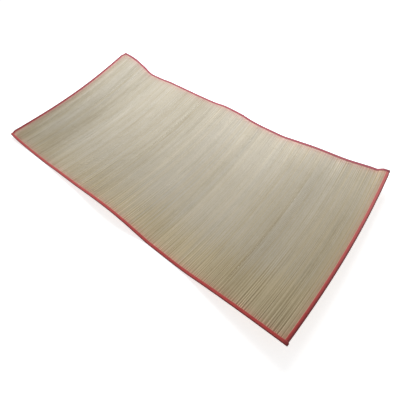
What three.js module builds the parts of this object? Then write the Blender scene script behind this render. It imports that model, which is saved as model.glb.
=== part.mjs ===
// Straw beach mat with a red binding tape on all four edges, lying in gentle folds.
// Millimetres, +Z up. The length runs along X, the near long edge lies on the -Y side
// and the floor is the plane z = 0.
import * as THREE from 'three';

// Cut sizes, over the folded edges of the tape
const matLength = 1800;
const matWidth = 900;
const panelThickness = 2.4;
const tapeThickness = 0.8;
const sewingGap = 0.3;

// How far the far corners are drawn in, and how far the middle of each end bows to +X.
// A power of 1 is an even bow, and more is a narrower one.
const farCornerDraw = { left: 10, right: 20 };
const endBow = { left: 37, right: 20 };
const bowPower = { left: 1.3, right: 1 };

// Corners that are drawn in: where they are in the cut sheet, and how far each moves.
// The draw fades out over its reach along and across the mat.
const cornerDraws = [
  { along: 0, across: 0, x: 14, y: 3 },
  { along: 0, across: matWidth, x: 14, y: -2 },
  { along: matLength, across: matWidth, x: -2, y: -4 },
];
const drawReach = { along: 90, across: 42 };

// Height of the sheet over the floor under each long edge, a row for each bend.
// Where two rows are 0 the sheet lies flat on the floor, from edge to edge.
const folds = [
  { along: 0, near: 22, far: 74 },
  { along: 50, near: 16, far: 70 },
  { along: 110, near: 9, far: 60 },
  { along: 180, near: 2, far: 35 },
  { along: 270, near: 0, far: 0 },
  { along: 330, near: 0, far: 0 },
  { along: 450, near: 11, far: 7 },
  { along: 620, near: 22, far: 7 },
  { along: 780, near: 40, far: 10 },
  { along: 880, near: 44, far: 20 },
  { along: 980, near: 33, far: 16 },
  { along: 1060, near: 14, far: 4 },
  { along: 1130, near: 0, far: 0 },
  { along: 1240, near: 0, far: 0 },
  { along: 1330, near: 5, far: 11 },
  { along: 1450, near: 30, far: 28 },
  { along: 1600, near: 57, far: 41 },
  { along: 1720, near: 73, far: 62 },
  { along: 1800, near: 82, far: 74 },
];

// The far right corner turns up a little more, from one distance to the other each way
const cornerLift = { height: 16, alongFrom: 1745, alongTo: 1777, acrossFrom: 700, acrossTo: 890 };

// The visible width of each tape, and how far a side tape runs on past the mat's ends
const sideTapes = [
  { name: 'near_side_binding', side: 'near', width: 14, pastLeft: 0.5, pastRight: 3 },
  { name: 'far_side_binding', side: 'far', width: 14, pastLeft: 0.5, pastRight: 1 },
];
const endTapes = {
  left: { name: 'left_end_binding', width: 16 },
  right: { name: 'right_end_binding', width: 14 },
};

// Half thicknesses of the layers, from the middle of the sheet outwards
const panelHalf = panelThickness / 2;
const singleInner = panelHalf + sewingGap;
const singleOuter = singleInner + tapeThickness;
const doubleInner = singleOuter + sewingGap;
const doubleOuter = doubleInner + tapeThickness;
const pinchedInner = 0.2;

// A side tape closes down from two layers to one over this length beside an end tape
const tapeStep = 8;
// The sheet drops from the tape's thickness to its own between these distances
const dropStart = 20;
const dropEnd = 80;

// Spacing of the cross-sections, and the places of points across the sheet
const sectionStep = 30;
const walkStep = 5;
const foldTurns = 3;
const acrossStops = [16, 30, 45, 62, 80, 180, 315, 450, 585, 700, 760, 820, 838, 855, 870, 884];

const strawMaterial = new THREE.MeshStandardMaterial({
  color: 0xb9b092, roughness: 0.72, metalness: 0,
});
const tapeMaterial = new THREE.MeshStandardMaterial({
  color: 0xa8353c, roughness: 0.85, metalness: 0,
});

// Steepness of a long edge at a row of the fold table, level at every top and bottom
function steepness(side, row) {
  const slopeFrom = (k) => (
    (folds[k + 1][side] - folds[k][side]) / (folds[k + 1].along - folds[k].along)
  );
  if (row === 0) return slopeFrom(0);
  if (row === folds.length - 1) return slopeFrom(row - 1);
  const before = slopeFrom(row - 1);
  const after = slopeFrom(row);
  if (before * after <= 0) return 0;
  const spanBefore = folds[row].along - folds[row - 1].along;
  const spanAfter = folds[row + 1].along - folds[row].along;
  const weightBefore = spanBefore + 2 * spanAfter;
  const weightAfter = 2 * spanBefore + spanAfter;
  return (weightBefore + weightAfter) / (weightAfter / before + weightBefore / after);
}

// Height of the sheet's underside along a long edge, run on straight past the ends
function rise(side, along) {
  const within = THREE.MathUtils.clamp(along, 0, matLength);
  let row = 0;
  while (row < folds.length - 2 && within >= folds[row + 1].along) row += 1;
  const span = folds[row + 1].along - folds[row].along;
  const t = (within - folds[row].along) / span;
  const height = folds[row][side] * (1 + 2 * t) * (1 - t) ** 2
    + folds[row + 1][side] * t * t * (3 - 2 * t)
    + steepness(side, row) * span * t * (1 - t) ** 2
    + steepness(side, row + 1) * span * t * t * (t - 1);
  const endRow = along < 0 ? 0 : folds.length - 1;
  return height + (along - within) * steepness(side, endRow);
}

// Level distances covered by walking along a folded edge in short steps
function levelWalk(side) {
  const reached = [0];
  for (let along = 0; along < matLength; along += walkStep) {
    const climb = rise(side, along + walkStep) - rise(side, along);
    reached.push(reached.at(-1) + Math.sqrt(walkStep ** 2 - climb ** 2));
  }
  return reached;
}
const levelWalks = { near: levelWalk('near'), far: levelWalk('far') };

function levelDistance(side, along) {
  const reached = levelWalks[side];
  const within = THREE.MathUtils.clamp(along, 0, matLength);
  const step = Math.min(Math.floor(within / walkStep), reached.length - 2);
  const part = within / walkStep - step;
  return THREE.MathUtils.lerp(reached[step], reached[step + 1], part) + along - within;
}

// How much of a corner's draw is felt at a place of the sheet, from 0 to 1
function cornerPull(corner, along, across) {
  const awayAlong = THREE.MathUtils.smoothstep(Math.abs(along - corner.along), 0, drawReach.along);
  const awayAcross = THREE.MathUtils.smoothstep(Math.abs(across - corner.across), 0, drawReach.across);
  return (1 - awayAlong) * (1 - awayAcross);
}

// A point of the sheet's middle surface, from the distance along and across it
function middlePoint(along, across) {
  const v = across / matWidth;
  const u = THREE.MathUtils.clamp(along / matLength, 0, 1);
  const draw = THREE.MathUtils.lerp(farCornerDraw.left, -farCornerDraw.right, u);
  const power = THREE.MathUtils.lerp(bowPower.left, bowPower.right, u);
  const evenly = Math.max(4 * v * (1 - v), 0);
  const bow = THREE.MathUtils.lerp(endBow.left, endBow.right, u) * evenly ** power;
  const x = THREE.MathUtils.lerp(levelDistance('near', along), levelDistance('far', along) + draw, v);
  const lift = cornerLift.height
    * THREE.MathUtils.smoothstep(along, cornerLift.alongFrom, cornerLift.alongTo)
    * THREE.MathUtils.smoothstep(across, cornerLift.acrossFrom, cornerLift.acrossTo);
  const underside = THREE.MathUtils.lerp(rise('near', along), rise('far', along), v) + lift;
  const fromEdge = Math.min(across, matWidth - across);
  const drop = THREE.MathUtils.smoothstep(fromEdge, dropStart, dropEnd);
  const half = THREE.MathUtils.lerp(singleOuter, panelHalf, drop);
  const point = new THREE.Vector3(x + bow - matLength / 2, across - matWidth / 2, underside + half);
  for (const corner of cornerDraws) {
    const pull = cornerPull(corner, along, across);
    point.x += corner.x * pull;
    point.y += corner.y * pull;
  }
  return point;
}

// The same place moved off the middle surface, square to it and never under the floor
function sheetPoint(along, across, off) {
  const reach = 1;
  const alongWay = middlePoint(along + reach, across).sub(middlePoint(along - reach, across));
  const acrossWay = middlePoint(along, across + reach).sub(middlePoint(along, across - reach));
  const square = alongWay.cross(acrossWay).normalize();
  const point = middlePoint(along, across).addScaledVector(square, off);
  point.z = Math.max(point.z, 0);
  return point;
}

// A closed body swept through sections. A section has an upper and a lower line of
// points with the same count, and the body lies between the two lines.
function sweptBody(sections) {
  const lineLength = sections[0].upper.length;
  const ringLength = lineLength * 2;
  const positions = [];
  const triangles = [];
  for (const { upper, lower } of sections) {
    for (const point of [...upper, ...lower.toReversed()]) positions.push(...point);
  }
  const quad = (a, b, c, d) => triangles.push(a, b, c, a, c, d);
  for (let s = 0; s + 1 < sections.length; s += 1) {
    for (let k = 0; k < ringLength; k += 1) {
      const here = s * ringLength;
      const next = (k + 1) % ringLength;
      quad(here + k, here + ringLength + k, here + ringLength + next, here + next);
    }
  }
  const lastRing = (sections.length - 1) * ringLength;
  for (let k = 0; k + 1 < lineLength; k += 1) {
    const facing = ringLength - 1 - k;
    quad(k, k + 1, facing - 1, facing);
    quad(lastRing + k, lastRing + facing, lastRing + facing - 1, lastRing + k + 1);
  }
  const geometry = new THREE.BufferGeometry();
  geometry.setAttribute('position', new THREE.Float32BufferAttribute(positions, 3));
  geometry.setIndex(triangles);
  return geometry;
}

// Distances along the sheet at which every piece has a cross-section
function alongStops(from, to) {
  const stops = [from, to, 0, matLength];
  for (let along = sectionStep; along < matLength; along += sectionStep) stops.push(along);
  const leftEdge = endTapes.left.width;
  const rightEdge = matLength - endTapes.right.width;
  stops.push(singleOuter, leftEdge, leftEdge + sewingGap, leftEdge + tapeStep);
  stops.push(rightEdge - tapeStep, rightEdge - sewingGap, rightEdge, matLength - singleOuter);
  stops.push(cornerLift.alongFrom, (cornerLift.alongFrom + cornerLift.alongTo) / 2);
  for (const fold of folds) stops.push(fold.along);
  const inside = stops.filter((stop) => stop >= from && stop <= to).sort((a, b) => a - b);
  return inside.filter((stop, k) => k === 0 || stop > inside[k - 1]);
}

// The lines across a folded tape, from the edge of one leaf round to the other.
// A point is [distance in from the outer fold, distance off the middle].
function foldedTape(width, inner) {
  const outer = inner + tapeThickness;
  const line = (radius) => {
    const points = [[width, radius]];
    for (let turn = 0; turn <= foldTurns; turn += 1) {
      const angle = Math.PI * (0.5 - turn / foldTurns);
      points.push([outer - radius * Math.cos(angle), radius * Math.sin(angle)]);
    }
    points.push([width, -radius]);
    return points;
  };
  return { outside: line(outer), inside: line(inner) };
}

// The woven panel, with its edges inside the folds of the tapes
function strawPanel() {
  const across = [singleOuter, ...acrossStops, matWidth - singleOuter];
  const lift = (along, off) => across.map((place) => sheetPoint(along, place, off));
  const sections = alongStops(singleOuter, matLength - singleOuter).map((along) => (
    { upper: lift(along, panelHalf), lower: lift(along, -panelHalf) }
  ));
  return sweptBody(sections);
}

// How far the leaves of a side tape stand off the middle: over the panel alone, over
// an end tape as well, and pinched together where it runs on past the mat
function sideTapeInner(along) {
  if (along < 0 || along > matLength) {
    const past = Math.max(-along, along - matLength);
    const pinch = THREE.MathUtils.smoothstep(past, 0, sideTapes[0].pastRight);
    return THREE.MathUtils.lerp(doubleInner, pinchedInner, pinch);
  }
  const leftEdge = endTapes.left.width;
  const rightEdge = matLength - endTapes.right.width;
  const pastTape = Math.max(0, Math.min(along - leftEdge, rightEdge - along) - sewingGap);
  const step = THREE.MathUtils.clamp(pastTape / (tapeStep - sewingGap), 0, 1);
  return THREE.MathUtils.lerp(doubleInner, singleInner, step);
}

function sideTape({ side, width, pastLeft, pastRight }) {
  const place = (inward) => (side === 'near' ? inward : matWidth - inward);
  const sections = alongStops(-pastLeft, matLength + pastRight).map((along) => {
    const past = Math.max(0, along - matLength);
    const { outside, inside } = foldedTape(width - past, sideTapeInner(along));
    const lift = ([inward, off]) => sheetPoint(along, place(inward), off);
    const outer = outside.map(lift);
    const inner = inside.map(lift);
    return side === 'near' ? { upper: inner, lower: outer } : { upper: outer, lower: inner };
  });
  return sweptBody(sections);
}

function endTape(end, { width }) {
  const { outside, inside } = foldedTape(width, singleInner);
  const start = doubleOuter;
  const place = (inward) => (end === 'left' ? inward : matLength - inward);
  const sections = [start, ...acrossStops, matWidth - start].map((across) => {
    const lift = ([inward, off]) => sheetPoint(place(inward), across, off);
    const outer = outside.map(lift);
    const inner = inside.map(lift);
    return end === 'right' ? { upper: inner, lower: outer } : { upper: outer, lower: inner };
  });
  return sweptBody(sections);
}

const mat = new THREE.Group();

function addPiece(name, geometry, material) {
  const piece = new THREE.Mesh(geometry, material.clone());
  piece.name = name;
  mat.add(piece);
}

addPiece('straw_panel', strawPanel(), strawMaterial);
for (const tape of sideTapes) addPiece(tape.name, sideTape(tape), tapeMaterial);
for (const [end, tape] of Object.entries(endTapes)) addPiece(tape.name, endTape(end, tape), tapeMaterial);

// The origin is under the middle of the mat's box, on the floor
const box = new THREE.Box3().setFromObject(mat);
const centre = box.getCenter(new THREE.Vector3());
mat.position.set(-centre.x, -centre.y, -box.min.z);

export default mat;
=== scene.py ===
# A woven straw beach mat with a folded red tape sewn over its edges, on a pale floor.
# Metres, in the part's own frame: the length along X, the near long edge on the -Y side.
import math

import bpy
import numpy as np
from mathutils import Matrix, Vector


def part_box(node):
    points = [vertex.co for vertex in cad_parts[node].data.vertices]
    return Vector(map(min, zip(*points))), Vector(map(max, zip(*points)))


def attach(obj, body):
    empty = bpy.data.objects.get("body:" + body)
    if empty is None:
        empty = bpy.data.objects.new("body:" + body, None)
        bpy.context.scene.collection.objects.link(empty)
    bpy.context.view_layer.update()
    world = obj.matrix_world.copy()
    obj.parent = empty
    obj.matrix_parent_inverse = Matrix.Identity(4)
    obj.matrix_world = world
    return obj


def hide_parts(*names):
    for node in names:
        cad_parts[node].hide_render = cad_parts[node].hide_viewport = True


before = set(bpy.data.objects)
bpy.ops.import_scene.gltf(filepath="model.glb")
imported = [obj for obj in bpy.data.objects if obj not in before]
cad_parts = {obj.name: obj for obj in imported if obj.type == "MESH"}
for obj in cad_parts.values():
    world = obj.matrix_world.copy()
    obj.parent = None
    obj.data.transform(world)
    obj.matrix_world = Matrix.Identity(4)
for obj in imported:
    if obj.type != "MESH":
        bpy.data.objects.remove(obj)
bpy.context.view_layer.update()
scene = bpy.context.scene

MM = 0.001
ROOT = "root"

# Cut sizes and layers, as in the part. A tape's leaves stand off the sheet's middle by their
# inner distance: over the panel alone, over an end tape as well, or pinched past the mat.
MAT_LENGTH = 1800 * MM
MAT_WIDTH = 900 * MM
PANEL_HALF = 1.2 * MM
TAPE_THICKNESS = 0.8 * MM
SEWING_GAP = 0.3 * MM
SINGLE_INNER = PANEL_HALF + SEWING_GAP
SINGLE_OUTER = SINGLE_INNER + TAPE_THICKNESS
DOUBLE_INNER = SINGLE_OUTER + SEWING_GAP
DOUBLE_OUTER = DOUBLE_INNER + TAPE_THICKNESS
PINCHED_INNER = 0.2 * MM
TAPE_WIDTHS = {"near": 14 * MM, "far": 14 * MM, "left": 16 * MM, "right": 14 * MM}

# How long a side tape takes to step down from an end tape, and how far each runs past the mat
TAPE_STEP = 8 * MM
NEAR_STUB = 3 * MM
FAR_STUB = 1 * MM
LEFT_STUB = 0.5 * MM

# Distances in from the long edges over which the sheet comes down from the tapes' height to
# its own, and over which the creases set in
DROP_START, DROP_END = 20 * MM, 80 * MM
CREASE_FADE = (14 * MM, 36 * MM)
FLOOR_CLEARANCE = 0.05 * MM

# How far the dark band reaches in from each tape's fold, partly soil and partly painted shade
# on the fold's rounded outer side, and how pale and how purple the cotton has faded, each from
# the tape's start to its end: from the left, or from the near corner. Round the near tape's tip
# a painted shadow, where the tape's end hangs down, is full up to one distance and ends at another.
TAPE_SOIL_AND_SHADE = {"near": (5 * MM, 7 * MM), "far": (10 * MM, 8 * MM), "left": (18 * MM, 15 * MM),
                "right": (12 * MM, 6 * MM)}
TIP_PAINTED_SHADOW = (3 * MM, 34 * MM)
TAPE_PALE = {"near": (0.15, 0.0), "far": (0.1, 0.3), "left": (0.0, 0.05), "right": (0.0, 0.4)}
TAPE_PURPLE = {"near": (0.1, 0.0), "far": (0.7, 0.6), "left": (0.1, 0.6), "right": (0.0, 0.1)}

# The plan: far corners drawn in, and the middle of each end bowed to +X. A power of 1 is
# an even bow, and more is a narrower one.
FAR_DRAW_LEFT, FAR_DRAW_RIGHT = 10 * MM, 20 * MM
BOW_LEFT, BOW_RIGHT = 37 * MM, 20 * MM
POWER_LEFT, POWER_RIGHT = 1.3, 1.0

# Corners that are drawn in: where they are in the cut sheet, and how far each moves along
# X and Y. The draw fades out over its reach along and across the mat.
CORNER_DRAWS = [
    (0, 0, 14 * MM, 3 * MM),
    (0, MAT_WIDTH, 14 * MM, -2 * MM),
    (MAT_LENGTH, MAT_WIDTH, -2 * MM, -4 * MM),
]
DRAW_ALONG, DRAW_ACROSS = 90 * MM, 42 * MM

# Height of the sheet over the floor under each long edge: along, near, far, in millimetres
FOLDS = np.array([
    (0, 22, 74), (50, 16, 70), (110, 9, 60), (180, 2, 35), (270, 0, 0), (330, 0, 0),
    (450, 11, 7), (620, 22, 7), (780, 40, 10), (880, 44, 20), (980, 33, 16), (1060, 14, 4),
    (1130, 0, 0), (1240, 0, 0), (1330, 5, 11), (1450, 30, 28), (1600, 57, 41), (1720, 73, 62),
    (1800, 82, 74),
]) * MM
FOLD_ALONG, FOLD_NEAR, FOLD_FAR = FOLDS.T

# The far right corner turns up a little more
CORNER_LIFT = 16 * MM
CORNER_ALONG = (1745 * MM, 1777 * MM)
CORNER_ACROSS = (700 * MM, 890 * MM)

# Creases and odd straws. Millimetres: place along the mat at its near edge, lean to the
# right on the way to the far edge, half width, the stretch across that it covers, and
# its rise, minus for a trough. The last column paints the straws paler or darker: painted
# light on the ridges and painted shade in the troughs.
CREASES = [
    (60, 0, 10, 250, 800, 0.8, 0.15), (118, 0, 14, 30, 560, 1.6, 0.3),
    (172, 0, 6, 420, 860, -1.3, -0.5), (184, 6, 4, 600, 890, 0.9, 0.6),
    (196, 8, 4, 620, 890, 0.8, 0.5), (228, 4, 22, 20, 700, -1.6, -0.4),
    (345, 0, 10, 60, 780, 1.2, 0.5), (474, 6, 7, 520, 720, -0.8, -0.2),
    (540, 4, 5, 640, 820, 0.6, 0.3), (648, 4, 6, 20, 320, -0.9, -0.5),
    (706, 8, 6, 80, 880, -1.5, -0.6), (732, -4, 5, 60, 500, 0.9, 0.4),
    (752, -6, 7, 0, 300, -1.0, -0.5), (784, -4, 5, 420, 760, 0.8, 0.35),
    (812, 6, 9, 560, 820, -0.9, -0.35), (806, -8, 5, 20, 240, 0.7, 0.5),
    (842, 0, 8, 600, 880, 0.7, 0.3), (905, -14, 4, 0, 280, 0.7, 0.5),
    (982, -6, 4, 60, 400, -0.9, -0.5), (1075, 0, 7, 560, 860, 0.8, 0.25),
    (1108, -18, 10, 0, 600, -1.3, -0.4), (1120, 6, 5, 640, 890, -1.2, -0.6),
    (1230, 0, 4, 0, 280, -0.6, -0.4), (1268, 0, 8, 460, 780, 0.6, 0.2),
    (1345, 0, 6, 700, 890, 0.8, 0.4), (1386, 6, 5, 260, 640, 0.9, 0.45),
    (1496, 4, 3, 60, 870, -1.2, -0.9), (1556, 6, 4, 660, 880, 0.7, 0.7),
    (1575, 6, 4, 740, 890, 0.5, 0.5), (1640, 0, 5, 240, 560, 0.5, 0.3),
    (1716, 0, 8, 80, 600, -0.9, -0.35),
]

# Bundles of darker or paler straws. Millimetres: place along the mat, half width, the
# stretch across that they cover, and how much paler they are, minus for darker. A stretch
# that has no soft end at an edge of the mat goes 100 mm past it.
BUNDLES = [
    (30, 10, 130, 1000, -1.5), (60, 9, -100, 1000, 1.4), (125, 8, -100, 120, -1.2),
    (140, 8, 230, 420, 1.3), (150, 8, 600, 1000, -1.0), (182, 8, -100, 220, -1.4),
    (182, 8, 580, 780, -1.4), (213, 9, 400, 1000, 1.0), (250, 10, -100, 420, -0.9),
    (315, 9, -100, 380, 1.3), (360, 9, -100, 600, 1.1), (490, 12, -100, 700, -0.8),
    (655, 12, -100, 400, -0.8), (700, 8, -100, 1000, 1.2), (725, 8, 110, 760, -1.1),
    (765, 9, -100, 600, -0.9), (803, 9, -100, 1000, -1.1), (860, 9, -100, 1000, 1.1),
    (930, 9, -100, 260, 1.1), (978, 9, 400, 1000, -1.0), (1036, 8, -100, 110, 0.9),
    (1103, 8, -100, 400, 0.9), (1135, 9, -100, 1000, -0.9), (1306, 8, 580, 1000, -0.8),
    (1378, 8, -100, 110, 1.5), (1490, 7, 780, 1000, 0.9), (1500, 8, -100, 420, -0.8),
    (1532, 7, 780, 1000, 1.1), (1586, 7, 780, 1000, 0.9), (1638, 8, -100, 260, 1.1),
    (1746, 8, -100, 110, -1.1),
]

# The soft ends of those stretches, each way from the place given
STRETCH_FADE = 60 * MM

# Straws and warp threads
STRAW_COUNT = 640
STRAW_SIDES = 6
STRAW_HALF_HEIGHT = 1.05 * MM
DYE_REACH = 11 * MM
DYE_AMOUNTS = {"near": 1.0, "far": 1.2, "left": 1.4, "right": 0.6}
WARP_COUNT = 12
WARP_SIDES = 3
WARP_RADIUS = 0.22 * MM
WARP_INSET = 30 * MM
PAIR_OFFSET = 0.35 * MM

# Where a warp thread bends over a straw, and its height there, as shares of the straw's half
# width and height
SHOULDER_PLACE, SHOULDER_HEIGHT = 0.55, 0.88

# Tape meshes, and the ruffle of their leaf edges
TURN_FACETS = 8
SIDE_STATIONS, END_STATIONS = 1001, 501
RUFFLE, RUFFLE_LIMIT, RUFFLE_PUCKER = 0.22 * MM, 0.5 * MM, 0.08 * MM
RUFFLE_KNOTS, RUFFLE_SPAN = 260, (-0.1, 1.9)
RUFFLE_LIFT_SHARE = 0.6

# Stitches
STITCH_LENGTH = 3.4 * MM
STITCH_GAP = 0.5 * MM
STITCH_OFFSET = 0.3 * MM
STITCH_RADIUS = 0.28 * MM
STITCH_INSET = 2.6 * MM
STITCH_LIFT, STITCH_ARCH = 0.05 * MM, 0.22 * MM
STITCH_WANDER = 0.12 * MM
STITCH_STATIONS, STITCH_SIDES = 5, 4
SIDE_SEAM_INSET = 4 * MM

random = np.random.default_rng(41)


# The sheet's surface

def steepness(heights):
    """Slope at each row of the fold table, level at every top and bottom."""
    spans = np.diff(FOLD_ALONG)
    slopes = np.diff(heights) / spans
    weight_before = spans[:-1] + 2 * spans[1:]
    weight_after = 2 * spans[:-1] + spans[1:]
    before, after = slopes[:-1], slopes[1:]
    same_way = before * after > 0
    safe_before = np.where(same_way, before, 1)
    safe_after = np.where(same_way, after, 1)
    inner = (weight_before + weight_after) / (weight_after / safe_before + weight_before / safe_after)
    return np.concatenate([slopes[:1], np.where(same_way, inner, 0), slopes[-1:]])


def rise(heights, along):
    """Height of the sheet's underside along a long edge, run on straight past the ends."""
    slopes = steepness(heights)
    within = np.clip(along, 0, MAT_LENGTH)
    row = np.clip(np.searchsorted(FOLD_ALONG, within, side="right") - 1, 0, len(FOLDS) - 2)
    span = FOLD_ALONG[row + 1] - FOLD_ALONG[row]
    t = (within - FOLD_ALONG[row]) / span
    height = (heights[row] * (1 + 2 * t) * (1 - t) ** 2
              + heights[row + 1] * t * t * (3 - 2 * t)
              + slopes[row] * span * t * (1 - t) ** 2
              + slopes[row + 1] * span * t * t * (t - 1))
    return height + (along - within) * np.where(along < 0, slopes[0], slopes[-1])


# Steps of a walk along a folded edge
WALK = np.arange(0, MAT_LENGTH + MM, 5 * MM)


def level_walk(heights):
    """Level distances covered by walking along a folded edge in short steps."""
    climb = np.diff(rise(heights, WALK))
    return np.concatenate([[0], np.cumsum(np.sqrt(np.diff(WALK) ** 2 - climb ** 2))])


NEAR_WALK, FAR_WALK = level_walk(FOLD_NEAR), level_walk(FOLD_FAR)


def level_distance(walk, along):
    within = np.clip(along, 0, MAT_LENGTH)
    return np.interp(within, WALK, walk) + along - within


def smoothstep(value, low, high):
    t = np.clip((value - low) / (high - low), 0, 1)
    return t * t * (3 - 2 * t)


def lerp(a, b, t):
    return a + (b - a) * t


def middle_points(along, across):
    """Points of the sheet's middle surface, from distances along and across it."""
    v = across / MAT_WIDTH
    u = np.clip(along / MAT_LENGTH, 0, 1)
    evenly = np.maximum(4 * v * (1 - v), 0)
    bow = lerp(BOW_LEFT, BOW_RIGHT, u) * evenly ** lerp(POWER_LEFT, POWER_RIGHT, u)
    far_x = level_distance(FAR_WALK, along) + lerp(FAR_DRAW_LEFT, -FAR_DRAW_RIGHT, u)
    x = lerp(level_distance(NEAR_WALK, along), far_x, v)
    lift = CORNER_LIFT * smoothstep(along, *CORNER_ALONG) * smoothstep(across, *CORNER_ACROSS)
    underside = lerp(rise(FOLD_NEAR, along), rise(FOLD_FAR, along), v) + lift
    from_edge = np.minimum(across, MAT_WIDTH - across)
    half = lerp(SINGLE_OUTER, PANEL_HALF, smoothstep(from_edge, DROP_START, DROP_END))
    x, y = x + bow, across - MAT_WIDTH / 2
    for corner_along, corner_across, draw_x, draw_y in CORNER_DRAWS:
        pull = 1 - smoothstep(np.abs(along - corner_along), 0, DRAW_ALONG)
        pull = pull * (1 - smoothstep(np.abs(across - corner_across), 0, DRAW_ACROSS))
        x, y = x + draw_x * pull, y + draw_y * pull
    return np.stack(np.broadcast_arrays(x, y, underside + half), -1)


# The near tape's right end is the highest X of its node, which places the mat in the frame
RIGHT_TIP = middle_points(np.array(MAT_LENGTH + NEAR_STUB), np.array(0.0))[0]
FRAME_SHIFT = np.array([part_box("near_side_binding")[1][0] - RIGHT_TIP, 0, 0])


def sheet_points(along, across, off):
    """Places off the middle surface, square to it and never under the floor."""
    along, across, off = np.broadcast_arrays(along, across, off)
    reach = 1 * MM
    along_way = middle_points(along + reach, across) - middle_points(along - reach, across)
    across_way = middle_points(along, across + reach) - middle_points(along, across - reach)
    square = np.cross(along_way, across_way)
    square /= np.linalg.norm(square, axis=-1, keepdims=True)
    points = middle_points(along, across) + FRAME_SHIFT + square * off[..., None]
    points[..., 2] = np.maximum(points[..., 2], FLOOR_CLEARANCE)
    return points


def bell(value, centre, half_width):
    return np.exp(-((value - centre) / half_width) ** 2)


def stretch(across, start, stop):
    """1 along a stretch across the mat, given in millimetres, with soft ends."""
    begun = smoothstep(across, start * MM - STRETCH_FADE, start * MM + STRETCH_FADE)
    ended = smoothstep(across, stop * MM - STRETCH_FADE, stop * MM + STRETCH_FADE)
    return begun * (1 - ended)


def crease_fields(along, across):
    """How far the creases lift the straws, and how much paler or darker the straws are there: painted
    light on the ridges, painted shade in the troughs, and the bundles' own tones.
    """
    lift = np.zeros(np.broadcast(along, across).shape)
    tone = np.zeros_like(lift)
    for place, lean, half_width, start, stop, height, shade in CREASES:
        centre = (place + lean * across / MAT_WIDTH) * MM
        profile = bell(along, centre, half_width * MM)
        ends = stretch(across, start, stop)
        lift += height * MM * profile * ends
        # Painted shade in the troughs and painted light on the ridges
        tone += shade * profile * ends
    for place, half_width, start, stop, shade in BUNDLES:
        tone += shade * bell(along, place * MM, half_width * MM) * stretch(across, start, stop)
    from_edge = np.minimum(across, MAT_WIDTH - across)
    return lift * smoothstep(from_edge, *CREASE_FADE), tone


# Meshes

def link_mesh(name, points, faces, uvs, attributes):
    """A linked, smooth mesh: uvs has a place on the weave map for each corner of each face,
    and each attribute a value for each point."""
    mesh = bpy.data.meshes.new(name)
    mesh.from_pydata(points.reshape(-1, 3).tolist(), [], faces)
    layer = mesh.uv_layers.new(name="weave")
    layer.data.foreach_set("uv", uvs.astype(np.float32).ravel())
    for key, values in attributes.items():
        attribute = mesh.attributes.new(key, "FLOAT", "POINT")
        attribute.data.foreach_set("value", values.astype(np.float32).ravel())
    mesh.polygons.foreach_set("use_smooth", np.ones(len(faces), bool))
    mesh.validate()
    piece = bpy.data.objects.new(name, mesh)
    scene.collection.objects.link(piece)
    return piece


def tube_mesh(name, points, uvs, attributes=None):
    """One joined mesh of closed tubes. points is (tubes, stations, sides, 3), and uvs has
    one more side, so that the last face doesn't run back across the map."""
    tubes, stations, sides = points.shape[:3]
    index = np.arange(tubes * stations * sides).reshape(tubes, stations, sides)
    ahead = np.roll(index, -1, axis=2)
    walls = np.stack([index[:, :-1], ahead[:, :-1], ahead[:, 1:], index[:, 1:]], -1).reshape(-1, 4)
    starts = index[:, 0, ::-1].reshape(-1, sides)
    stops = index[:, -1].reshape(-1, sides)
    faces = walls.tolist() + starts.tolist() + stops.tolist()
    wall_uvs = np.stack([uvs[:, :-1, :-1], uvs[:, :-1, 1:], uvs[:, 1:, 1:], uvs[:, 1:, :-1]], -2)
    cap_uvs = [uvs[:, 0, -2::-1], uvs[:, -1, :-1]]
    flat_uvs = np.concatenate([part.reshape(-1, 2) for part in [wall_uvs, *cap_uvs]])
    return link_mesh(name, points, faces, flat_uvs, attributes or {})


def each(values):
    """One value for each tube, ready to spread over its stations and sides."""
    return values[:, None, None]


def clumps(count, spacing, seed):
    """Smooth random values along the straws, with a bend every few straws."""
    knots = np.random.default_rng(seed).normal(size=count // spacing + 3)
    return np.interp(np.arange(count) / spacing, np.arange(len(knots)), knots)


STRAW_START = SINGLE_OUTER
STRAW_PITCH = (MAT_LENGTH - 2 * STRAW_START) / STRAW_COUNT


def quick_noise(low, high, seed):
    """Random values for the straws that only change quickly along the mat: changes slower
    than low cycles a metre are left out, and from high upwards all are whole."""
    noise = np.random.default_rng(seed).normal(size=STRAW_COUNT)
    cycles = np.fft.rfftfreq(STRAW_COUNT, STRAW_PITCH)
    kept = np.fft.irfft(np.fft.rfft(noise) * smoothstep(cycles, low, high), STRAW_COUNT)
    return kept / kept.std()


# What varies from straw to straw. The seed of straw_tones is one whose wide and narrow
# stripes are about as strong as the photograph's.
straw_places = STRAW_START + STRAW_PITCH * (np.arange(STRAW_COUNT) + 0.5)
straw_heights = STRAW_HALF_HEIGHT * random.uniform(0.92, 1.1, STRAW_COUNT)
straw_widths = STRAW_PITCH / 2 * random.uniform(1.04, 1.1, STRAW_COUNT)
straw_sink = random.normal(0, 0.05 * MM, STRAW_COUNT).clip(-0.1 * MM, 0.1 * MM)
single_tones = 0.35 * quick_noise(150, 170, 4)
straw_tones = 1.05 * quick_noise(10, 90, 2907)
bundle_tones = (0.16 * clumps(STRAW_COUNT, 5, 8) + 0.2 * clumps(STRAW_COUNT, 10, 6)
                + 0.12 * clumps(STRAW_COUNT, 30, 7))
butt_sides = np.where(random.random(STRAW_COUNT) < 0.5, -1.0, 1.0)
straw_yellows = 0.15 * random.normal(size=STRAW_COUNT)


# The straws' looks over the mat. In these, u is the share of its length from the left end,
# and v the share of its width from the near edge.

def straw_contrast(u, v):
    """How much one straw differs from the next: most near the right end's near edge."""
    near = (1 - smoothstep(v, 0, 0.45)) ** 1.3
    far = smoothstep(v, 0.74, 0.98) ** 1.3
    right = smoothstep(u, 0.1, 1)
    left = 1 - smoothstep(u, 0, 0.25)
    rim = (0.7 + left) * np.exp(-v / 0.06)
    return 0.06 + (0.5 + 0.6 * right + rim) * near + 0.7 * far + 0.18 * right


def bundle_contrast(u, v):
    """How much bundles of straws differ: more at the long edges, most at the near left."""
    return 1 + np.exp(-v / 0.11) * (2.5 - 2 * u) + 0.5 * np.exp((v - 1) / 0.12)


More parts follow.
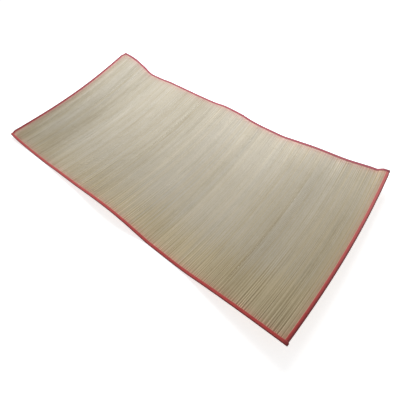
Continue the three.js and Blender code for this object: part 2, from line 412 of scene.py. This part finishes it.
def straw_painted_light(u, v):
    """Painted light and shade over the straws. The right half is paler, most of all at the far edge:
    a painted sheen. The right end, a band before it and the left end's near half are darker: painted
    shade."""
    near = 1 - smoothstep(v, 0, 0.35)
    far = smoothstep(v, 0.5, 0.95)
    right_half = smoothstep(u, 0.47, 0.56)
    right_end = smoothstep(u, 0.74, 1)
    left_end = 1 - smoothstep(u, 0.08, 0.25)
    left_near = left_end * (1 - smoothstep(v, 0.4, 0.75))
    dull = bell(u, 0.8, 0.045)
    # A painted sheen near the far edge, before the right end
    far_sheen = smoothstep(v, 0.8, 0.95) * smoothstep(u, 0.68, 0.78) * (1 - right_end)
    pale = (1.1 + 0.8 * far) * right_half + 0.1 * near + 1.3 * far_sheen
    return pale - (1.1 + 0.4 * near) * right_end - 0.9 * left_near - 0.8 * dull - 0.25


def straw_yellow(u, v):
    """Dry straws yellow toward the near edge and the right end."""
    near = 1 - smoothstep(v, 0, 0.3)
    middle = 1 - smoothstep(v, 0.3, 1)
    right = smoothstep(u, 0.2, 1)
    right_end = smoothstep(u, 0.85, 1)
    return ((0.4 + 0.45 * right + 0.3 * right_end) * near
            + (0.15 + 0.12 * right + 0.1 * right_end) * middle + 0.2 * right + 0.25 * right_end)


def tape_dye(along, across):
    """How much red dye the tapes have let into the straws beside them."""
    insides = {"near": across, "far": MAT_WIDTH - across, "left": along, "right": MAT_LENGTH - along}
    amount = sum(DYE_AMOUNTS[edge] * np.exp(-np.maximum(inside - TAPE_WIDTHS[edge], 0) / DYE_REACH)
                 for edge, inside in insides.items())
    return np.minimum(amount, 1.4)


def make_straws():
    """All the straws, each with stations that are closer together beside the tapes."""
    edge_stops = np.array([0, 10, 18, 32, 54, 85]) * MM + SINGLE_OUTER
    middle_stops = np.linspace(125 * MM, MAT_WIDTH - 125 * MM, 13)
    stops = np.concatenate([edge_stops, middle_stops, MAT_WIDTH - edge_stops[::-1]])
    across = stops[None, :, None]
    angle = np.arange(STRAW_SIDES) / STRAW_SIDES * 2 * math.pi
    drift = random.normal(0, 0.03 * MM, (STRAW_COUNT, len(stops)))[..., None]
    taper = 1 + 0.015 * random.normal(size=(STRAW_COUNT, len(stops)))[..., None].clip(-1, 2)
    centre = each(straw_places) + drift
    along = centre + each(straw_widths) * taper * np.cos(angle)
    lift, shade = crease_fields(centre, across)
    off = each(straw_sink) + each(straw_heights) * taper * np.sin(angle) + lift
    points = sheet_points(along, across, off)
    u, v = centre / MAT_LENGTH, across / MAT_WIDTH
    tone = each(straw_tones) * straw_contrast(u, v) + each(bundle_tones) * bundle_contrast(u, v)
    # The last term paints light and shade over the mat: a painted sheen toward the far edge, painted
    # shade at the ends
    tone = tone + each(single_tones) + shade + straw_painted_light(u, v)
    butt_end = smoothstep((v - 0.5) * each(butt_sides), 0.2, 0.5)
    yellow = straw_yellow(u, v) + 0.3 * butt_end * u + each(straw_yellows)
    shape = points.shape[:3]
    attributes = {"tone": tone, "yellow": yellow, "dye": tape_dye(centre, across)}
    attributes = {key: np.broadcast_to(values, shape) for key, values in attributes.items()}
    turn = np.arange(STRAW_SIDES + 1) / STRAW_SIDES
    uvs = np.stack(np.broadcast_arrays(
        each(straw_places) + (turn - 0.5) * STRAW_PITCH, across + 0 * turn), -1)
    return tube_mesh("straws", points, uvs, attributes)


def make_warp_threads(name, lines):
    """Pairs of thin threads that pass over and under the straws in turn."""
    shoulder = SHOULDER_PLACE * straw_widths
    between = straw_places + STRAW_PITCH / 2
    along = np.stack([straw_places - shoulder, straw_places, straw_places + shoulder, between], 1)
    top = (straw_heights + 0.4 * WARP_RADIUS) * np.where(np.arange(STRAW_COUNT) % 2, -1, 1)
    over = np.stack([SHOULDER_HEIGHT * top, top, SHOULDER_HEIGHT * top, 0 * top], 1)
    along, over = along.ravel()[:-1, None], over.ravel()[:-1, None]
    angle = np.arange(WARP_SIDES) / WARP_SIDES * 2 * math.pi + math.pi / 2
    phases = np.array([1, -1])
    place = each((lines[:, None] + phases * PAIR_OFFSET).ravel())
    phase = each(np.tile(phases, len(lines)))
    across = place + WARP_RADIUS * np.cos(angle)
    lift, _ = crease_fields(along, place)
    off = over * phase + lift + WARP_RADIUS * np.sin(angle)
    points = sheet_points(along, across, off)
    turn = np.arange(WARP_SIDES + 1) / WARP_SIDES
    uvs = np.stack(np.broadcast_arrays(along, place + turn * MM), -1)
    return tube_mesh(name, points, uvs)


def fold_lines(width, inner):
    """A folded tape's outer and inner lines, from one leaf edge round to the other:
    distance in from the outer fold and distance off the middle. Arrays over stations."""
    outer = inner + TAPE_THICKNESS
    angle = math.pi * (0.5 - np.arange(TURN_FACETS + 1) / TURN_FACETS)
    leaf = np.array([1.0, 0.8, 0.6, 0.4, 0.2])

    def line(radius):
        inward = outer[:, None] - radius[:, None] * np.cos(angle)
        off = radius[:, None] * np.sin(angle)
        leaf_in = outer[:, None] + (width - outer)[:, None] * leaf
        leaf_off = np.broadcast_to(radius[:, None], leaf_in.shape)
        return (np.concatenate([leaf_in, inward, leaf_in[:, ::-1]], 1),
                np.concatenate([leaf_off, off, -leaf_off], 1))

    return line(outer), line(inner)


def tape_mesh(edge, name, place_points, run, width, inner):
    """A folded tape swept along its run, closed all round with a thin edge on each leaf."""
    (outer_in, outer_off), (inner_in, inner_off) = fold_lines(width, inner)
    inward = np.concatenate([outer_in, inner_in[:, ::-1]], 1)
    off = np.concatenate([outer_off, inner_off[:, ::-1]], 1)
    half = outer_in.shape[1]
    # The ruffle moves the outer half of each leaf
    ruffle = leaf_ruffle(run, name)
    leaf_part = smoothstep(inward, 0.45 * width[:, None], width[:, None])
    off = off + np.sign(off) * leaf_part * ruffle[:, None] * RUFFLE_LIFT_SHARE
    inward = inward + leaf_part * ruffle[:, None]
    points = place_points(run[:, None], inward, off)
    stations, ring = points.shape[:2]
    index = np.arange(stations * ring).reshape(stations, ring)
    ahead = np.roll(index, -1, axis=1)
    walls = np.stack([index[:-1], ahead[:-1], ahead[1:], index[1:]], -1).reshape(-1, 4)
    pair = np.arange(half - 1)
    ends = []
    for row, turned in ((index[0], True), (index[-1], False)):
        quads = np.stack([row[pair], row[pair + 1], row[ring - 2 - pair], row[ring - 1 - pair]], -1)
        ends.append(quads[:, ::-1] if turned else quads)
    faces = np.concatenate([walls, *ends])
    path = np.concatenate([np.zeros((stations, 1)),
                           np.cumsum(np.hypot(np.diff(inward, axis=1), np.diff(off, axis=1)), 1)], 1)
    coordinate = np.stack(np.broadcast_arrays(run[:, None], path), -1).reshape(-1, 2)
    done = (run[:, None] - run[0]) / (run[-1] - run[0]) + 0 * inward
    # The dark band along the fold is partly soil and partly painted shade on the fold's rounded outer
    # side
    fold_soil_and_shade_reach = lerp(*TAPE_SOIL_AND_SHADE[edge], done)
    fold = 1 - smoothstep(inward / fold_soil_and_shade_reach, 0.2, 1)
    # A painted shadow round the near tape's tip, where the tape's end hangs down
    tip = 1 - smoothstep(np.hypot(run[:, None] - MAT_LENGTH - NEAR_STUB, inward), *TIP_PAINTED_SHADOW)
    looks = {"leaf_edge": smoothstep(inward, 0.8 * width[:, None], width[:, None]),
             "fold_soil_and_shade": np.maximum(fold, tip),
             "pale": lerp(*TAPE_PALE[edge], done), "purple": lerp(*TAPE_PURPLE[edge], done)}
    return link_mesh(name, points, faces.tolist(), coordinate[faces.ravel()], looks)


def leaf_ruffle(run, name):
    """Small unevenness of a tape's leaf edges, where the stitches pull it in."""
    seed = np.random.default_rng(sum(name.encode()))
    knots = seed.normal(0, RUFFLE, RUFFLE_KNOTS)
    slow = np.interp(run, np.linspace(*RUFFLE_SPAN, RUFFLE_KNOTS), knots)
    pucker = RUFFLE_PUCKER * np.cos(2 * math.pi * run / (STITCH_LENGTH + STITCH_GAP))
    return (slow + pucker).clip(-RUFFLE_LIMIT, RUFFLE_LIMIT)


def side_tape_inner(along):
    """How far a side tape's leaves stand off the middle: over the panel alone, over an end
    tape as well, and pinched together where it runs on past the mat."""
    past_left = along - TAPE_WIDTHS["left"]
    past_right = MAT_LENGTH - TAPE_WIDTHS["right"] - along
    past_tape = np.minimum(past_left, past_right) - SEWING_GAP
    step = np.clip(past_tape / (TAPE_STEP - SEWING_GAP), 0, 1)
    inner = lerp(DOUBLE_INNER, SINGLE_INNER, step)
    past = np.maximum(-along, along - MAT_LENGTH)
    return lerp(inner, PINCHED_INNER, smoothstep(past, 0, NEAR_STUB))


def side_place(side):
    """Places for a side tape, from distances along the mat, in from its fold and off the middle."""
    def place(along, inward, off):
        return sheet_points(along, inward if side == "near" else MAT_WIDTH - inward, off)
    return place


def end_place(end):
    """The same for an end tape, whose run goes across the mat."""
    def place(across, inward, off):
        return sheet_points(inward if end == "left" else MAT_LENGTH - inward, across, off)
    return place


def make_side_tape(side, past_right):
    run = np.concatenate([[-LEFT_STUB], np.linspace(0, MAT_LENGTH, SIDE_STATIONS)[1:],
                          MAT_LENGTH + past_right * np.linspace(0.25, 1, 4)])
    width = TAPE_WIDTHS[side] - np.maximum(0, run - MAT_LENGTH)
    return tape_mesh(side, f"{side}_side_tape", side_place(side), run, width, side_tape_inner(run))


def make_end_tape(end):
    run = np.linspace(DOUBLE_OUTER, MAT_WIDTH - DOUBLE_OUTER, END_STATIONS)
    width = np.full(len(run), TAPE_WIDTHS[end])
    inner = np.full(len(run), SINGLE_INNER)
    return tape_mesh(end, f"{end}_end_tape", end_place(end), run, width, inner)


def make_stitches(name, place_points, start, stop, tape_width, leaf_off):
    """A row of short stitches along each leaf of a tape, each a low arch of thread."""
    pitch = STITCH_LENGTH + STITCH_GAP
    count = int((stop - start) / pitch)
    first = start + (stop - start - count * pitch) / 2
    t = np.linspace(0, 1, STITCH_STATIONS)
    angle = (np.arange(STITCH_SIDES) + 0.5) / STITCH_SIDES * 2 * math.pi
    # Each stitch is thickest and highest in its middle
    arch = np.sin(math.pi * t)[None, :, None]
    thick = STITCH_RADIUS * (0.55 + 0.45 * arch)
    begin = first + pitch * np.arange(count)
    wander = np.random.default_rng(count).normal(0, STITCH_WANDER, count)
    run = (begin[:, None] + STITCH_OFFSET + STITCH_LENGTH * t)[..., None]
    rows = []
    for face in (1, -1):
        off = face * (leaf_off(run) + STITCH_LIFT + STITCH_ARCH * arch) + thick * np.sin(angle)
        inward = tape_width - STITCH_INSET + each(wander) + thick * np.cos(angle)
        rows.append(place_points(run + 0 * off, inward, off))
    points = np.concatenate(rows)
    turn = np.arange(STITCH_SIDES + 1) / STITCH_SIDES
    uvs = np.stack(np.broadcast_arrays(np.concatenate([run, run]), turn * MM), -1)
    return tube_mesh(name, points, uvs)


# Materials

class Nodes:
    """A short way to build a node material."""

    def __init__(self, name):
        self.material = bpy.data.materials.new(name)
        self.material.use_nodes = True
        self.tree = self.material.node_tree
        self.shader = self.tree.nodes["Principled BSDF"]

    def add(self, kind, settings=None, **inputs):
        """Adds a node. An input is named by its socket, or by i and the socket's number."""
        node = self.tree.nodes.new(kind)
        for key, value in (settings or {}).items():
            setattr(node, key, value)
        for key, value in inputs.items():
            socket = int(key[1:]) if key[1:].isdigit() else key.replace("_", " ")
            self.plug(value, node.inputs[socket])
        return node

    def plug(self, value, socket):
        if isinstance(value, bpy.types.NodeSocket):
            self.tree.links.new(value, socket)
        else:
            socket.default_value = value

    def math(self, operation, a, b=0.0, clamp=False):
        settings = {"operation": operation, "use_clamp": clamp}
        return self.add("ShaderNodeMath", settings, i0=a, i1=b).outputs[0]

    def line(self, value, slope, start):
        return self.math("ADD", self.math("MULTIPLY", value, slope), start)

    def vary(self, level, noise, weight, clamp=False):
        """A level that a noise moves up and down, by so much of its distance from a half."""
        moved = self.math("MULTIPLY", self.math("SUBTRACT", noise, 0.5), weight)
        return self.math("ADD", level, moved, clamp)

    def mix(self, factor, a, b, blend="MIX"):
        node = self.add("ShaderNodeMix", {"data_type": "RGBA", "blend_type": blend})
        self.plug(factor, node.inputs[0])
        self.plug(a, node.inputs[6])
        self.plug(b, node.inputs[7])
        return node.outputs[2]

    def ramp(self, factor, stops):
        node = self.add("ShaderNodeValToRGB", None, Fac=factor)
        ramp = node.color_ramp
        while len(ramp.elements) < len(stops):
            ramp.elements.new(0.5)
        for element, (position, colour) in zip(ramp.elements, stops):
            element.position = position
            element.color = (*colour, 1)
        return node.outputs[0]

    def attribute(self, name):
        return self.add("ShaderNodeAttribute", {"attribute_name": name}).outputs["Fac"]

    def scaled_map(self, first, second):
        """The weave map, which is in metres, with so many steps to the metre each way."""
        uv = self.add("ShaderNodeUVMap", {"uv_map": "weave"}).outputs[0]
        settings = {"operation": "MULTIPLY"}
        return self.add("ShaderNodeVectorMath", settings, i0=uv, i1=(first, second, 1)).outputs[0]

    def noise(self, vector, detail=2.0, roughness=0.5):
        inputs = {"Vector": vector, "Scale": 1.0, "Detail": detail, "Roughness": roughness}
        return self.add("ShaderNodeTexNoise", None, **inputs).outputs["Fac"]

    def waves(self, direction, vector, **inputs):
        """Even bands, about one to each step of the map."""
        return self.add("ShaderNodeTexWave", {"bands_direction": direction}, Vector=vector,
                        Scale=1.0 / math.pi, **inputs).outputs["Fac"]

    def bump(self, height, distance, strength):
        node = self.add("ShaderNodeBump", None, Height=height, Distance=distance, Strength=strength)
        self.tree.links.new(node.outputs[0], self.shader.inputs["Normal"])

    def set(self, **inputs):
        for key, value in inputs.items():
            self.plug(value, self.shader.inputs[key.replace("_", " ")])


def straw_material():
    """Dry straw: each stalk has its own tone and fine fibres, yellower where it says so."""
    n = Nodes("dry_straw")
    streak = n.noise(n.scaled_map(1400, 9), 3)
    fibres = n.noise(n.scaled_map(5200, 60), 3)
    patch = n.noise(n.scaled_map(9, 5), 2)
    fleck = n.math("SUBTRACT", n.noise(n.scaled_map(1100, 160), 3), 0.62)
    level = n.line(n.attribute("tone"), 0.1, 0.5)
    level = n.vary(level, streak, 0.5)
    level = n.vary(level, fibres, 0.45)
    level = n.vary(level, patch, 0.1, True)
    colour = n.ramp(level, [
        (0.0, (0.17, 0.14, 0.09)), (0.3, (0.32, 0.288, 0.215)), (0.5, (0.41, 0.38, 0.317)),
        (0.7, (0.50, 0.47, 0.405)), (1.0, (0.64, 0.61, 0.54)),
    ])
    yellow = n.mix(n.attribute("yellow"), (1, 1, 1, 1), (1.04, 0.94, 0.72, 1))
    colour = n.mix(1.0, colour, yellow, "MULTIPLY")
    colour = n.mix(n.math("MULTIPLY", fleck, 5.0, True), colour, (0.25, 0.19, 0.12, 1))
    colour = n.mix(n.attribute("dye"), colour, (1.2, 0.84, 0.9, 1), "MULTIPLY")
    n.set(Base_Color=colour, Roughness=n.line(streak, 0.2, 0.48), Specular_IOR_Level=0.25)
    n.bump(fibres, 0.2 * MM, 0.7)
    return n.material


def tape_material():
    """Red cotton tape in a plain weave with painted highlights on its threads, darker at its fold,
    partly soil and partly painted shade, and paler along its edges.
    """
    n = Nodes("red_cotton_tape")
    threads = n.scaled_map(1500, 1500)
    weft = n.waves("X", threads, Distortion=0.4, Detail=1.0)
    warp = n.waves("Y", threads, Distortion=0.4, Detail=1.0)
    weave = n.math("MULTIPLY", weft, warp)
    blotch = n.noise(n.scaled_map(60, 200), 4, 0.6)
    slub = n.noise(n.scaled_map(260, 900), 2)
    colour = n.ramp(n.line(blotch, 0.6, n.math("MULTIPLY", slub, 0.4)), [
        (0.3, (0.24, 0.017, 0.014)), (0.5, (0.385, 0.034, 0.028)), (0.72, (0.50, 0.063, 0.05)),
    ])
    colour = n.mix(n.attribute("pale"), colour, (0.60, 0.25, 0.235, 1))
    colour = n.mix(n.attribute("purple"), colour, (0.27, 0.06, 0.11, 1))
    # The weave's raised crossings are painted paler: a painted highlight on the threads
    colour = n.mix(n.math("MULTIPLY", weave, 0.25), colour, (0.60, 0.165, 0.145, 1))
    worn = n.math("MULTIPLY", n.attribute("leaf_edge"), 0.3)
    colour = n.mix(worn, colour, (0.62, 0.28, 0.24, 1))
    # The fold's dark band: partly soil, partly painted shade; round the near tape's tip, a painted
    # shadow
    soil_and_shade_amount = n.math("MULTIPLY", n.attribute("fold_soil_and_shade"), 0.85)
    soil_and_shade_colour = n.mix(n.attribute("purple"), (0.11, 0.009, 0.013, 1), (0.10, 0.02, 0.045, 1))
    colour = n.mix(soil_and_shade_amount, colour, soil_and_shade_colour)
    n.set(Base_Color=colour, Roughness=n.line(slub, 0.15, 0.74),
          Sheen_Weight=0.15, Sheen_Roughness=0.5, Specular_IOR_Level=0.3)
    n.bump(n.line(slub, 0.5, weave), 0.12 * MM, 0.7)
    return n.material


def thread_material(name, dark, light, roughness):
    """Twisted thread: slanting plies in two close tones."""
    n = Nodes(name)
    plies = n.waves("DIAGONAL", n.scaled_map(2600, 900), Distortion=0.3)
    fuzz = n.noise(n.scaled_map(700, 300), 2)
    colour = n.ramp(n.line(plies, 0.6, n.math("MULTIPLY", fuzz, 0.4)), [(0.2, dark), (0.8, light)])
    n.set(Base_Color=colour, Roughness=n.line(fuzz, 0.2, roughness))
    n.bump(plies, 0.08 * MM, 0.6)
    return n.material


def floor_material():
    """White light-table acrylic, which glows a little and so keeps its shadows pale."""
    n = Nodes("pale_floor")
    n.set(Base_Color=(0.8, 0.8, 0.8, 1), Roughness=0.9, Specular_IOR_Level=0.1,
          Emission_Color=(1, 1, 1, 1), Emission_Strength=0.62)
    return n.material


# Camera, at the photograph's place and angle, and the studio

CAMERA_PLACE = Vector((0.8766, -0.7521, 1.2255))
CAMERA_AZIMUTH, CAMERA_ELEVATION, CAMERA_ROLL = 45.43, 54.28, -6.615
SENSOR_WIDTH = 36.0
FOCAL_PIXELS, IMAGE_PIXELS = 324.6, 400
FLOOR_HALF = 20
SKY_STRENGTH = 0.42


def make_camera():
    data = bpy.data.cameras.new("camera")
    data.sensor_width = SENSOR_WIDTH
    data.lens = SENSOR_WIDTH * FOCAL_PIXELS / IMAGE_PIXELS
    data.clip_start, data.clip_end = 0.05, 60
    camera = bpy.data.objects.new("camera", data)
    azimuth, elevation = math.radians(CAMERA_AZIMUTH), math.radians(CAMERA_ELEVATION)
    back = Vector((math.sin(azimuth) * math.cos(elevation),
                   -math.cos(azimuth) * math.cos(elevation), math.sin(elevation)))
    turn = (-back).to_track_quat("-Z", "Y").to_matrix().to_4x4()
    roll = Matrix.Rotation(math.radians(CAMERA_ROLL), 4, "Z")
    camera.matrix_world = Matrix.Translation(CAMERA_PLACE) @ turn @ roll
    scene.collection.objects.link(camera)
    scene.camera = camera


def make_floor():
    mesh = bpy.data.meshes.new("floor")
    corners = [(FLOOR_HALF * x, FLOOR_HALF * y, 0) for x, y in ((-1, -1), (1, -1), (1, 1), (-1, 1))]
    mesh.from_pydata(corners, [], [(0, 1, 2, 3)])
    floor = bpy.data.objects.new("floor", mesh)
    floor.data.materials.append(floor_material())
    scene.collection.objects.link(floor)


def make_light(name, place, target, size, power):
    data = bpy.data.lights.new(name, "AREA")
    data.shape = "RECTANGLE"
    data.size, data.size_y = size
    data.energy = power
    light = bpy.data.objects.new(name, data)
    light.location = place
    light.rotation_mode = "QUATERNION"
    light.rotation_quaternion = (Vector(target) - Vector(place)).to_track_quat("-Z", "Y")
    light.visible_camera = False
    scene.collection.objects.link(light)


def make_studio():
    world = bpy.data.worlds.new("studio")
    world.use_nodes = True
    background = world.node_tree.nodes["Background"]
    background.inputs[0].default_value = (1, 1, 1, 1)
    background.inputs[1].default_value = SKY_STRENGTH
    scene.world = world
    scene.view_settings.view_transform = "Standard"
    make_light("softbox", (-0.4, 0.84, 1.34), (-0.15, 0.15, 0), (1.6, 1.0), 40)


make_camera()
make_floor()
make_studio()

STRAW, TAPE = straw_material(), tape_material()
WARP = thread_material("warp_cotton", (0.34, 0.30, 0.19), (0.52, 0.47, 0.33), 0.7)
SEWING = thread_material("sewing_thread", (0.30, 0.02, 0.03), (0.55, 0.08, 0.09), 0.6)


def dress(piece, material):
    piece.data.materials.append(material)
    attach(piece, ROOT)
    return piece


straws = dress(make_straws(), STRAW)
warp_lines = np.linspace(WARP_INSET, MAT_WIDTH - WARP_INSET, WARP_COUNT)
warp_threads = [
    dress(make_warp_threads("warp_threads_near", warp_lines[:WARP_COUNT // 2]), WARP),
    dress(make_warp_threads("warp_threads_far", warp_lines[WARP_COUNT // 2:]), WARP),
]
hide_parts("straw_panel")


def add_tape(edge, tape, node, place_points, start, stop, leaf_off):
    width = TAPE_WIDTHS[edge]
    dress(tape, TAPE)
    name = tape.name.replace("tape", "stitches")
    stitches = make_stitches(name, place_points, start, stop, width, leaf_off)
    dress(stitches, SEWING)
    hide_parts(node)


# The near and the right tape are swept the other way round, so their faces are turned over
for side, stub in (("near", NEAR_STUB), ("far", FAR_STUB)):
    tape = make_side_tape(side, stub)
    if side == "near":
        tape.data.flip_normals()
    add_tape(side, tape, f"{side}_side_binding", side_place(side),
             SIDE_SEAM_INSET, MAT_LENGTH - SIDE_SEAM_INSET,
             lambda run: side_tape_inner(run) + TAPE_THICKNESS)

for end in ("left", "right"):
    tape = make_end_tape(end)
    if end == "right":
        tape.data.flip_normals()
    add_tape(end, tape, f"{end}_end_binding", end_place(end), TAPE_WIDTHS["near"],
             MAT_WIDTH - TAPE_WIDTHS["far"], lambda run: SINGLE_OUTER)
